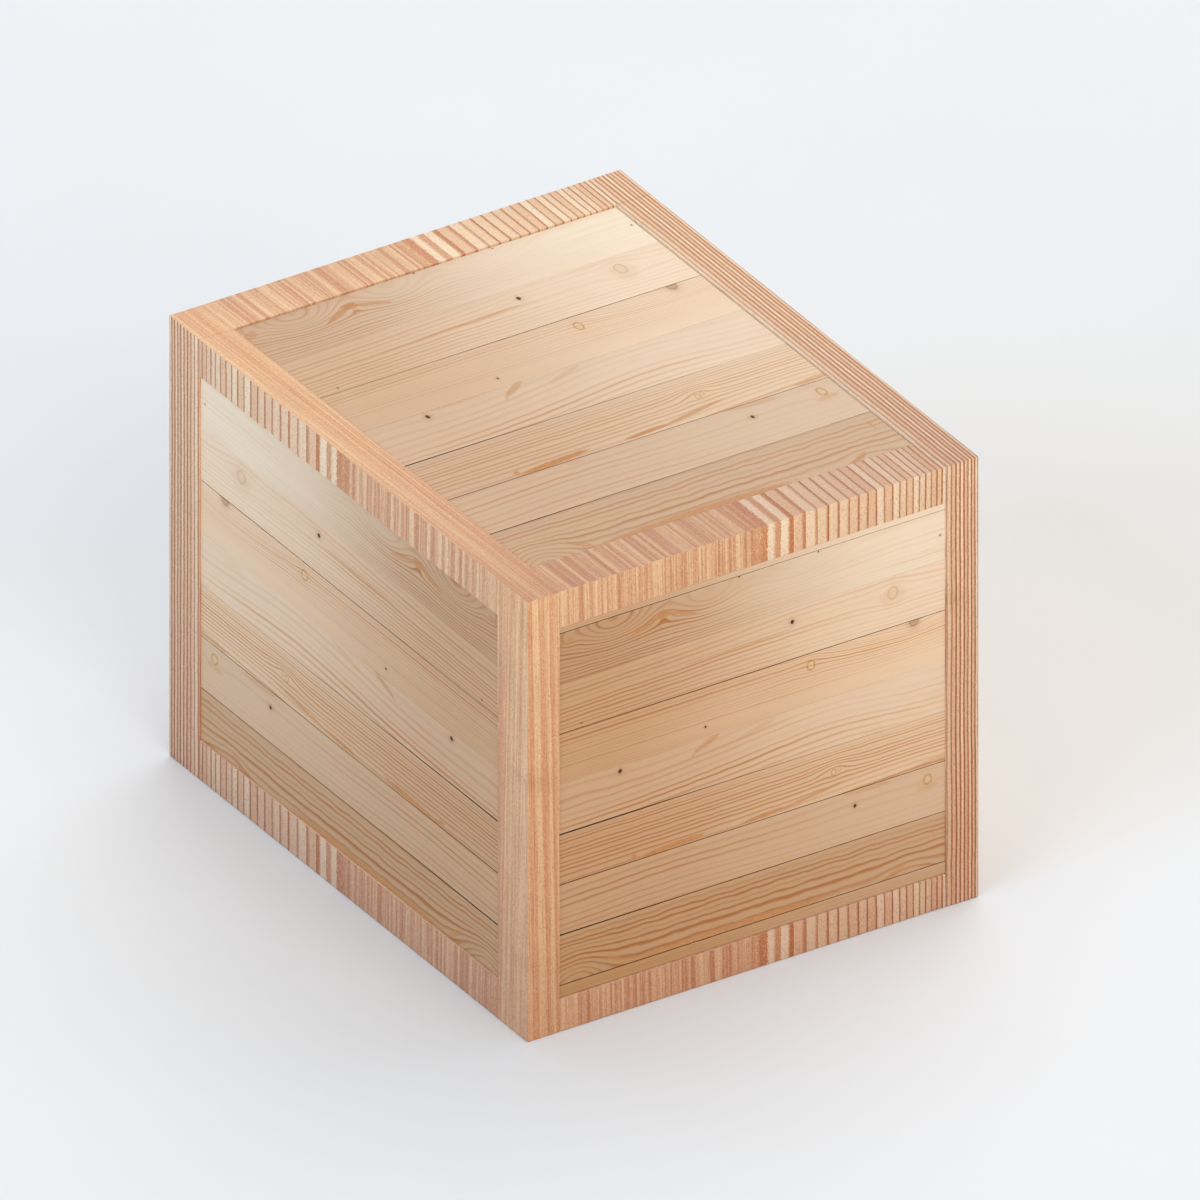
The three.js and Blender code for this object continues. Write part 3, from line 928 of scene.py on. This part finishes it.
def add_lid_boards(materials):
    count = len(ORDER)
    first_low, first_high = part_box("lid_board_1")
    last_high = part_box(f"lid_board_{count}")[1]
    start = (first_low.x, last_high.y, HIGH.z)
    long, high = first_high.x - first_low.x, last_high.y - first_low.y
    panel = Panel(start, (1, 0, 0), (0, -1, 0), (0, 0, -1), long, high)
    thick = first_high.z - first_low.z
    for row, (node, kind, above, below) in enumerate(board_courses("lid", ORDER)):
        top, bottom = high * row / count, high * (row + 1) / count
        add_board(
            node, "lid", "lid_board", panel, top, bottom, materials[kind],
            seed=LID_SEED + row * BOARD_SEED, sheen_and_fade=LID_PAINTED_SHEEN,
            thick=thick, seam_above=above, seam_below=below, upper_tongue=row > 0,
            lower="plain" if row == count - 1 else "groove", end_tongues=False,
        )


# -------- frame and other timber

def axes_by_length(node):
    """The numbers of the axes X, Y and Z, from the node's longest side to its shortest."""
    low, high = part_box(node)
    size = high - low
    return sorted(range(3), key=lambda i: size[i], reverse=True)


def sliced_copy(node, axis, step, arris, wear, rng):
    """A copy of a CAD node, cut into slices along an axis, with its edges eased and worn."""
    nearly_flat, clear_edge = math.radians(1), math.radians(30)
    bm = bmesh.new()
    bm.from_mesh(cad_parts[node].data)
    bmesh.ops.remove_doubles(bm, verts=bm.verts, dist=MERGE_SNAP)
    bmesh.ops.dissolve_limit(bm, angle_limit=nearly_flat, verts=bm.verts, edges=bm.edges)
    low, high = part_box(node)
    direction = Vector([1.0 if i == axis else 0.0 for i in range(3)])
    cuts = int((high[axis] - low[axis]) / step)
    for i in range(1, cuts):
        point = low + direction * (high[axis] - low[axis]) * i / cuts
        geometry = bm.verts[:] + bm.edges[:] + bm.faces[:]
        bmesh.ops.bisect_plane(bm, geom=geometry, dist=CUT_SNAP, plane_co=point, plane_no=direction)
    sharp = [edge for edge in bm.edges if edge.is_manifold and edge.calc_face_angle() > clear_edge]
    bevelled = bmesh.ops.bevel(
        bm, geom=sharp, offset=arris, segments=2, profile=0.6, affect="EDGES", clamp_overlap=True
    )
    shift = Vector([rng.uniform(-50, 50) for _ in range(3)])
    broad, fine = 60, 210
    for vertex in {v for face in bevelled["faces"] for v in face.verts}:
        worn = noise.noise(vertex.co * broad + shift) + 0.5 * noise.noise(vertex.co * fine + shift)
        vertex.co -= vertex.normal * max(worn, 0) * wear
    return finished_mesh(bm, node)


# A face faces along an axis if its normal has more than this much of it.
FACING = 0.6

# Millimetres into the wood at which the frame's level and inner faces are taken to be cut.
TOP_DEEP = 11.0


def frame_grain(point, normal):
    """Millimetres across and along the frame's stripes, and into the wood.

    The stripes stand upright on the outer walls, and run from front to back on top and inside. Across is
    counted from the soft-grained side of each face.
    """
    share_x = (point.x - LOW.x) / WIDTH
    share_y = (point.y - LOW.y) / DEPTH
    inward = normal.x * point.x + normal.y * point.y < 0
    if abs(normal.z) > FACING or inward:
        return share_x * FRAME_ACROSS, (point.y + HIGH.z - point.z) / MM, TOP_DEEP
    if abs(normal.y) > abs(normal.x):
        share = share_x if point.y < 0 else 1 - share_x
        return share * FRAME_ACROSS, point.z / MM, abs(point.y) / MM
    share = share_y if point.x < 0 else 1 - share_y
    return share * FRAME_ACROSS, point.z / MM, abs(point.x) / MM


def frame_shade_and_darkening(point, normal):
    """The frame is darker near the ground, and has painted shade towards the front of its top."""
    if normal.z > FACING:
        return 0.9 * (0.5 - point.y / DEPTH) ** 2
    return 1 - point.z / HEIGHT


def frame_painted_sheen(normal):
    """Painted sheen: the top and the left side are paled a little, as lit faces."""
    if normal.z > FACING:
        return 0.07
    return 0.04 if normal.x < -FACING else 0.0


def add_frame(material):
    for node in sorted(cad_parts):
        if not node.startswith(("corner_post", "bottom_rail", "top_rail")):
            continue
        rng = random.Random(node)
        longest = axes_by_length(node)[0]
        mesh = sliced_copy(node, longest, step=11 * MM, arris=0.7 * MM, wear=0.35 * MM, rng=rng)
        write_grain(mesh, frame_grain, frame_shade_and_darkening, rng.random(), frame_painted_sheen)
        hand_over(link_object(f"{node}_timber", mesh, material), "crate", "frame_timber", node)


def add_inner_timber(floor, batten):
    """Floor boards, bearer, ledges and battens, each with the grain along its length."""
    plain = [n for n in sorted(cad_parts) if n.startswith(("floor_", "lid_ledge", "lid_batten"))]
    for index, node in enumerate(plain):
        rng = random.Random(node)
        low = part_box(node)[0]
        long, broad, thin = axes_by_length(node)
        mesh = sliced_copy(node, long, step=14 * MM, arris=0.9 * MM, wear=0.5 * MM, rng=rng)

        def grain_of(point, normal):
            return point[long] / MM, (point[broad] - low[broad]) / MM, (point[thin] - low[thin]) / MM

        write_grain(mesh, grain_of, lambda point, normal: 0.0, index * TIMBER_SEED, lambda normal: 0.0)
        is_floor = node.startswith("floor_board")
        body = "lid" if node.startswith("lid_batten") else "crate"
        slot_name = "floor_board" if is_floor else "batten_timber"
        piece = link_object(f"{node}_timber", mesh, floor if is_floor else batten)
        hand_over(piece, body, slot_name, node)


# -------- screws

def screw_mesh(radius):
    """A countersunk head with a cross recess, its top flat at z = 0."""
    arm, slim, sunk = radius * 0.62, radius * 0.17, radius * 0.5
    recess_taper, neck, rim_drop = 0.7, radius * 0.4, radius * 0.08
    sides = 32
    bm = bmesh.new()
    cross = [
        (slim, arm), (slim, slim), (arm, slim), (arm, -slim), (slim, -slim), (slim, -arm),
        (-slim, -arm), (-slim, -slim), (-arm, -slim), (-arm, slim), (-slim, slim), (-slim, arm),
    ]
    inner = [bm.verts.new((x, y, 0)) for x, y in cross]
    floor = [bm.verts.new((x * recess_taper, y * recess_taper, -sunk)) for x, y in cross]
    rim, under = [], []
    for i in range(sides):
        angle = math.tau * i / sides
        x, y = math.cos(angle), math.sin(angle)
        rim.append(bm.verts.new((radius * x, radius * y, -rim_drop)))
        under.append(bm.verts.new((neck * x, neck * y, -radius)))
    count = len(cross)
    for i in range(count):
        j = (i + 1) % count
        bm.faces.new((inner[i], inner[j], floor[j], floor[i]))
    bm.faces.new(floor)
    bm.faces.new(under)
    for i in range(sides):
        j = (i + 1) % sides
        bm.faces.new((rim[i], rim[j], under[j], under[i]))
    edges = []
    for ring in (inner, rim):
        edges += [bm.edges.get((ring[i - 1], ring[i])) for i in range(len(ring))]
    bmesh.ops.triangle_fill(bm, use_beauty=True, edges=edges)
    bmesh.ops.recalc_face_normals(bm, faces=bm.faces)
    return finished_mesh(bm, "screw")


def add_screw_group(name, body, places, template, material):
    """One piece with a head at each place: a point on the wood and the direction that faces out of it."""
    proud = 0.3 * MM
    rng = random.Random(name)
    bm = bmesh.new()
    for place, outward in places:
        outward = Vector(outward)
        turn = Vector((0, 0, 1)).rotation_difference(outward).to_matrix().to_4x4()
        spin = Matrix.Rotation(rng.uniform(0, math.tau), 4, "Z")
        head = template.copy()
        head.transform(Matrix.Translation(Vector(place) + outward * proud) @ turn @ spin)
        bm.from_mesh(head)
    hand_over(link_object(name, finished_mesh(bm, name), material), body, "screw_steel")


def floor_screws():
    """Two rows over each end of the floor boards and two over the bearer."""
    edge, off_bearer_middle = 9 * MM, 15 * MM
    places = []
    for node in sorted(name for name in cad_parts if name.startswith("floor_board")):
        low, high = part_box(node)
        for x in (low.x + edge, -off_bearer_middle, off_bearer_middle, high.x - edge):
            for share in (0.3, 0.7):
                places.append(((x, low.y + (high.y - low.y) * share, high.z), (0, 0, 1)))
    return places


def ledge_screws():
    """One row along the inner face of each ledge."""
    places = []
    for side, direction in (("left", 1), ("right", -1)):
        low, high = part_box(f"lid_ledge_{side}")
        face = high.x if direction > 0 else low.x
        for share in (0.1, 0.37, 0.63, 0.9):
            y = low.y + (high.y - low.y) * share
            places.append(((face, y, (low.z + high.z) / 2), (direction, 0, 0)))
    for side, direction in (("front", 1), ("back", -1)):
        low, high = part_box(f"lid_ledge_{side}")
        face = high.y if direction > 0 else low.y
        for share in (0.12, 0.5, 0.88):
            x = low.x + (high.x - low.x) * share
            places.append(((x, face, (low.z + high.z) / 2), (0, direction, 0)))
    return places


def batten_screws():
    """Two screws through each batten into every lid board, one to each side of its middle."""
    apart, skew = 9 * MM, 1.4
    places = []
    for side in ("left", "right"):
        low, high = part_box(f"lid_batten_{side}")
        for i in range(1, len(ORDER) + 1):
            board_low, board_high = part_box(f"lid_board_{i}")
            middle = (max(board_low.y, low.y) + min(board_high.y, high.y)) / 2
            for shift in (-apart, apart):
                place = ((low.x + high.x) / 2 + shift, middle + shift * skew, low.z)
                places.append((place, (0, 0, -1)))
    return places


def add_screws(material):
    head_radius = 4 * MM
    template = screw_mesh(head_radius)
    add_screw_group("floor_screws", "crate", floor_screws(), template, material)
    add_screw_group("ledge_screws", "crate", ledge_screws(), template, material)
    add_screw_group("batten_screws", "lid", batten_screws(), template, material)


# -------- studio

# The camera, in metres. It aims a little to the right of the crate's middle, and above it.
CAMERA_AZIMUTH = math.radians(-32.43)
CAMERA_ELEVATION = math.radians(30.61)
CAMERA_DISTANCE = 4.0
VIEW_WIDTH = 1.2
AIM_RIGHT = 0.0262
AIM_UP = 0.0059

# The stage, in metres. The floor lies just under the crate.
STAGE_SIZE = 40
FLOOR_LEVEL = -0.5 * MM
GLOW_LEVEL = -600 * MM

WORLD_LIGHT = 0.38

# Each light's direction of travel, strength, colour and apparent size in degrees.
LIGHTS = {
    "front_light": ((0.10, 0.95, -0.55), 1.20, (1.0, 0.96, 0.88), 45),
    "left_light": ((0.95, 0.25, -0.45), 1.55, (0.43, 0.68, 1.0), 45),
    "top_light": ((-0.25, -0.20, -1.0), 1.07, (0.97, 0.98, 1.0), 60),
    "back_light": ((-0.80, -0.65, -0.55), 0.60, (1.0, 0.98, 0.95), 60),
}


def add_camera():
    """A long-lens view onto the front and the left side, without perspective."""
    data = bpy.data.cameras.new("camera")
    data.type = "ORTHO"
    data.ortho_scale = VIEW_WIDTH
    camera = bpy.data.objects.new("camera", data)
    bpy.context.scene.collection.objects.link(camera)
    turn = Matrix.Rotation(CAMERA_AZIMUTH, 4, "Z") @ Matrix.Rotation(math.pi / 2 - CAMERA_ELEVATION, 4, "X")
    right, up, backward = (Vector(turn.col[i][:3]) for i in range(3))
    centre = Vector((0, 0, HEIGHT / 2))
    place = centre + right * AIM_RIGHT + up * AIM_UP + backward * CAMERA_DISTANCE
    camera.matrix_world = Matrix.Translation(place) @ turn
    bpy.context.scene.camera = camera


def add_sun(name, towards, strength, colour, angle):
    """Soft light from far away, which shines towards a direction."""
    data = bpy.data.lights.new(name, "SUN")
    data.energy = strength
    data.color = colour
    data.angle = math.radians(angle)
    light = bpy.data.objects.new(name, data)
    light.rotation_euler = Vector((0, 0, -1)).rotation_difference(Vector(towards)).to_euler()
    bpy.context.scene.collection.objects.link(light)


def add_studio():
    scene = bpy.context.scene
    scene.view_settings.view_transform = "Standard"
    scene.view_settings.look = "None"
    world = bpy.data.worlds.new("studio")
    world.use_nodes = True
    background = world.node_tree.nodes["Background"]
    background.inputs["Color"].default_value = (1.0, 1.0, 1.0, 1.0)
    background.inputs["Strength"].default_value = WORLD_LIGHT
    scene.world = world
    for name, settings in LIGHTS.items():
        add_sun(name, *settings)
    add_stage_plane("floor", FLOOR_LEVEL, floor_material())
    add_stage_plane("glow_below", GLOW_LEVEL, glow_material())


def floor_material():
    """Matt, pale and very slightly uneven in tone."""
    material, tree, shader = new_material("pale_floor")
    x, y, _ = read_place(tree)
    patch_size = 0.4
    cloud = wander(x / patch_size, y / patch_size)
    colour = mix(ramp(cloud, -1.0, 1.0), shade(232, 231, 229), shade(235, 234, 232))
    plug(shader.inputs["Base Color"], colour)
    shader.inputs["Roughness"].default_value = 0.9
    return material


def glow_material():
    """The tone of the lit floor, for the strip of a low view that passes under the floor."""
    material, _, shader = new_material("pale_glow")
    shader.inputs["Base Color"].default_value = (0.0, 0.0, 0.0, 1.0)
    shader.inputs["Specular IOR Level"].default_value = 0.0
    shader.inputs["Emission Color"].default_value = shade(238, 242, 247)
    shader.inputs["Emission Strength"].default_value = 1.0
    return material


def add_stage_plane(name, height, material):
    bpy.ops.mesh.primitive_plane_add(size=STAGE_SIZE, location=(0, 0, height))
    plane = bpy.context.active_object
    plane.name = name
    plane.data.materials.append(material)


# -------- everything

def main():
    add_camera()
    pines = {name: pine_material(f"pine_{name}", pine) for name, pine in PINE.items()}
    add_walls(pines)
    add_lid_boards(pines)
    add_frame(frame_material())
    floor_wood = sawn_material("sawn_floor", (214, 170, 126), (176, 124, 80), 5.0)
    batten_wood = sawn_material("sawn_batten", (208, 160, 116), (168, 114, 72), 4.0)
    add_inner_timber(floor_wood, batten_wood)
    add_screws(zinc_material())
    add_studio()


main()
